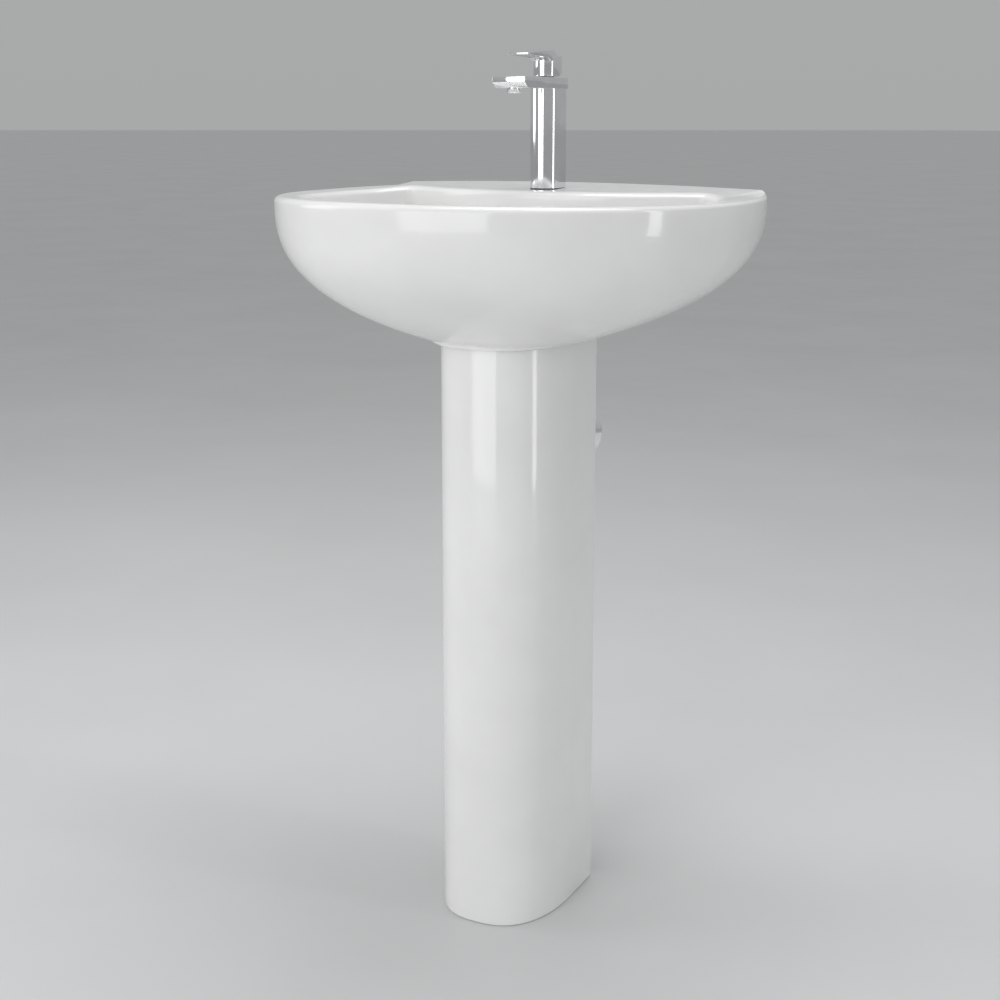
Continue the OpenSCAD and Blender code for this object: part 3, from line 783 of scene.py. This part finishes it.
def basin_cutters():
    """What is taken out of the ceramic: the pedestal's pocket, the hollow and its opening, and the holes."""
    back = PED_BACK_Y + POCKET_GAP
    half_w = PED_HALF_W + POCKET_GAP
    pocket_plan = pedestal_front(-POCKET_GAP, 96) + [(half_w, back), (-half_w, back)]
    pocket = prism("pocket", pocket_plan, SHELL_Z - CUTTER_RUN, POCKET_Z)
    door_plan = rectangle(DOOR_HALF_W, DOOR_FRONT_Y, WALL_Y - CAVITY_WALL)
    door = prism("door", door_plan, DOOR_LOW_Z, DOOR_HIGH_Z)
    tap_hole = bore("tap_hole", TAP_HOLE_R, TAP_HOLE_LOW_Z, TAP_HOLE_HIGH_Z, (0, TAP_AXIS_Y, 0))
    overflow = bore("overflow", OVERFLOW_R, 0, OVERFLOW_LENGTH, OVERFLOW_PLACE, axis="Y", steps=48)
    stud_places = [(side * STUD_X, STUD_START_Y, STUD_Z) for side in (-1, 1)]
    studs = [
        bore("stud_hole", STUD_HOLE_R, 0, STUD_HOLE_LENGTH, place, axis="Y", steps=32)
        for place in stud_places
    ]
    return [pocket, cavity_cutter(), door, tap_hole, overflow, *studs]


def basin():
    """One closed stack of rings: underside, rolled edge, deck, lip, bowl and drain."""
    rings = [shell_ring(crowd(j, WALL_RINGS)) for j in range(WALL_RINGS, -1, -1)]
    rings += [rim_ring(turn) for turn in range(10, 90, 10)]
    rings += [deck_ring(f) for f in DECK_SHARES]
    rings += [lip_ring(turn) for turn in range(0, 91, 10)]
    rings += [bowl_ring(crowd(j, WALL_RINGS)) for j in range(1, WALL_RINGS + 1)]
    rings += drain_rings()
    obj = face_outward(skin("basin_ceramic", rings, closed=True))
    cut(obj, *basin_cutters())
    smooth(obj, angle=38)
    piece(obj, "sink_body", "glazed_white", "basin")


# ---------------------------------------------------------------- the pedestal

def pedestal_front(inset, steps):
    """The oval front from the left side to the right, drawn in by an inset."""
    half_w = PED_HALF_W - inset
    depth = NECK_Y - PED_FRONT_Y - inset
    front = [oval(180 + i * 180 / steps, half_w, depth, NECK_N) for i in range(steps + 1)]
    return [(x, NECK_Y + y) for x, y in front]


def pedestal_outline():
    """A U that is open to the wall, with the corners of its two ends rounded."""
    outer = pedestal_front(0.0, 96)
    inner = pedestal_front(PED_WALL, 72)[::-1]
    inner_half_w = PED_HALF_W - PED_WALL
    right_end = [(PED_HALF_W, PED_BACK_Y), (inner_half_w, PED_BACK_Y)]
    left_end = [(-inner_half_w, PED_BACK_Y), (-PED_HALF_W, PED_BACK_Y)]
    rounded = [PED_END_ROUND, PED_END_ROUND]
    radii = [0] * len(outer) + rounded + [0] * len(inner) + rounded
    return round_outline(outer + right_end + inner + left_end, radii)


def foot_web():
    """The plate across the foot, with its two floor screw holes."""
    web = prism("web", rectangle(PED_HALF_W - WEB_INSET, -WEB_HALF_D, WEB_HALF_D), 0.0, WEB_H)
    bevel(web, width=1.5, segments=3, angle=50)
    holes = [
        bore("screw_hole", FLOOR_SCREW_R, -5, 20, (side * FLOOR_SCREW_X, 0, 0), steps=32)
        for side in (-1, 1)
    ]
    cut(web, *holes)
    return web


def pedestal():
    """A U of constant section with soft arrises and the foot web inside."""
    column = prism("pedestal_ceramic", pedestal_outline(), 0.0, PED_H)
    bevel(column, width=PED_ARRIS, segments=4, angle=50)
    cut(column, foot_web(), mode="UNION")
    smooth(column, angle=38)
    piece(column, "sink_body", "glazed_white", "pedestal")


# ---------------------------------------------------------------- the tap

def d_outline(radius, back, corner):
    """A round front and flat sides running back to a flat back."""
    steps = 48
    angles = [180 + i * 180 / steps for i in range(steps + 1)]
    arc = [(radius * cosine(t), ROUND_Y + radius * sine(t)) for t in angles]
    corners = [(radius, ROUND_Y + back), (-radius, ROUND_Y + back)]
    return round_outline(arc + corners, [0] * len(arc) + [corner, corner])


def spout():
    """A flat bar whose underside slopes up to the nose."""
    side = [
        (NOSE_Y, SPOUT_TOP), (NOSE_Y, SPOUT_TOP - NOSE_FACE), (NOSE_Y + NOSE_SLOPE, SPOUT_BOTTOM),
        (SPOUT_BACK_Y, SPOUT_BOTTOM), (SPOUT_BACK_Y, SPOUT_TOP),
    ]
    bar = prism("spout", side, -SPOUT_HALF_W, SPOUT_HALF_W, axis="X")
    bevel(bar, width=0.9, segments=3, angle=30)
    return bar


def cartridge_chamber():
    """The cartridge's chamber, a little wider at the top for its nut."""
    mouth = SPOUT_TOP + 5
    outline = [
        (AXIS_GAP, CHAMBER_Z), (CARTRIDGE_R, CHAMBER_Z), (CARTRIDGE_R, NUT_Z),
        (NUT_R, NUT_Z), (NUT_R, mouth), (AXIS_GAP, mouth),
    ]
    return lathe("chamber", outline, (0, TAP_AXIS_Y, 0))


def tap_body():
    """The column with its spout, hollow at the foot, at the cartridge and over the aerator."""
    column = prism("tap_body_chrome", d_outline(COLUMN_R, COLUMN_BACK, corner=1.2), BODY_Z, SPOUT_BOTTOM + 1)
    cut(column, spout(), mode="UNION")
    foot = bore("foot_hollow", FOOT_HOLLOW_R, BODY_Z - 2, BODY_Z + 50, (0, TAP_AXIS_Y, 0))
    socket = bore("socket", AERATOR_R, SPOUT_BOTTOM - 3, SPOUT_BOTTOM + 8, (0, AERATOR_Y, 0))
    cut(column, foot, cartridge_chamber(), socket)
    smooth(column, angle=30)
    piece(column, "sink_body", "polished_chrome", "tap_body")


def aerator_housing():
    """A short ring with eased lower edges."""
    z0 = AERATOR_LOW.z / MM
    z1 = AERATOR_HIGH.z / MM
    outline = [
        (AERATOR_BORE_R, z0 + 0.4), (AERATOR_BORE_R + 0.4, z0), (AERATOR_R - 0.5, z0),
        (AERATOR_R, z0 + 0.5), (AERATOR_R, z1), (AERATOR_BORE_R, z1),
    ]
    obj = lathe("aerator_housing_chrome", outline, (0, AERATOR_Y, 0), steps=72)
    smooth(obj, angle=50)
    piece(obj, "sink_body", "polished_chrome", "aerator_housing")


def blade():
    """A thin blade that reaches forward over the spout and thickens where it joins the hub."""
    side = [
        (BLADE_TIP_Y, BLADE_TOP - 5), (BLADE_TIP_Y, BLADE_TOP - 7),
        (TAP_AXIS_Y - 24, BLADE_TOP - 9), (TAP_AXIS_Y - 16, HUB_TOP - 6),
        (TAP_AXIS_Y + 4, HUB_TOP - 6), (TAP_AXIS_Y + 4, HUB_TOP), (TAP_AXIS_Y - 8, BLADE_TOP),
    ]
    rounded = round_outline(side, [0, 0, 6, 3, 0, 0, 6])
    plate = prism("blade", rounded, -BLADE_HALF_W, BLADE_HALF_W, axis="X")
    bevel(plate, width=0.5, segments=3, angle=30)
    return plate


def heel_point(y, z):
    """A place behind and above the lever's pivot, turned up by the heel's tilt."""
    lift = z * math.cos(HEEL_TILT) + y * math.sin(HEEL_TILT)
    return TAP_AXIS_Y + y * math.cos(HEEL_TILT) - z * math.sin(HEEL_TILT), PIVOT_Z + lift


def heel_wedge():
    """Takes the hub's heel off on a slope, so that it clears the spout when the lever lifts."""
    outline = [heel_point(y, z - HEEL_DROP) for y, z in ((0, -20), (40, -20), (40, 0), (0, 0))]
    return prism("wedge", outline, -30.0, 30.0, axis="X")


def lever_handle():
    """A hub shaped like the column, with its blade, hollow over the cartridge's stem."""
    hub = prism("lever_handle_chrome", d_outline(HUB_R, HUB_BACK, corner=1.0), HUB_BOTTOM, HUB_TOP)
    plate = blade()
    bevel(hub, width=0.8, segments=3, angle=50)
    cut(hub, plate, mode="UNION")
    hollow = bore("hollow", STEM_HOLLOW_R, HUB_BOTTOM - 3, PIVOT_Z + 10.5, (0, TAP_AXIS_Y, 0))
    screw_place = (0, TAP_AXIS_Y + 3, PIVOT_Z + 13)
    screw = bore("screw", GRUB_SCREW_R, 0, 20, screw_place, axis="Y", steps=32)
    cut(hub, hollow, heel_wedge(), screw)
    smooth(hub, angle=30)
    piece(hub, "lever_body", "polished_chrome", "lever_handle")


# ---------------------------------------------------------------- assembly

def dress_nodes():
    """The CAD pieces that stay get their own slot's material."""
    for row in frame["record"]["subparts"]:
        obj = NODES[row["node"]]
        obj.data.materials.clear()
        obj.data.materials.append(MATERIALS[row["material_slot"]])


def make_floor():
    """A floor that reaches the horizon, just under the pedestal's foot."""
    half = 60000.0
    floor = prism("studio_floor", rectangle(half, -half, half), -40, -0.2)
    floor.data.materials.append(floor_paint())


make_camera()
make_world()
make_lights()
make_floor()
MATERIALS = {
    "glazed_white": glazed_white(),
    "polished_chrome": polished_chrome(),
    "raw_brass": raw_brass(),
    "zinc_steel": zinc_steel(),
    "black_rubber": black_rubber(),
    "pale_plastic": pale_plastic(),
    "index_enamel": index_enamel(),
}
dress_nodes()
basin()
pedestal()
tap_body()
aerator_housing()
lever_handle()
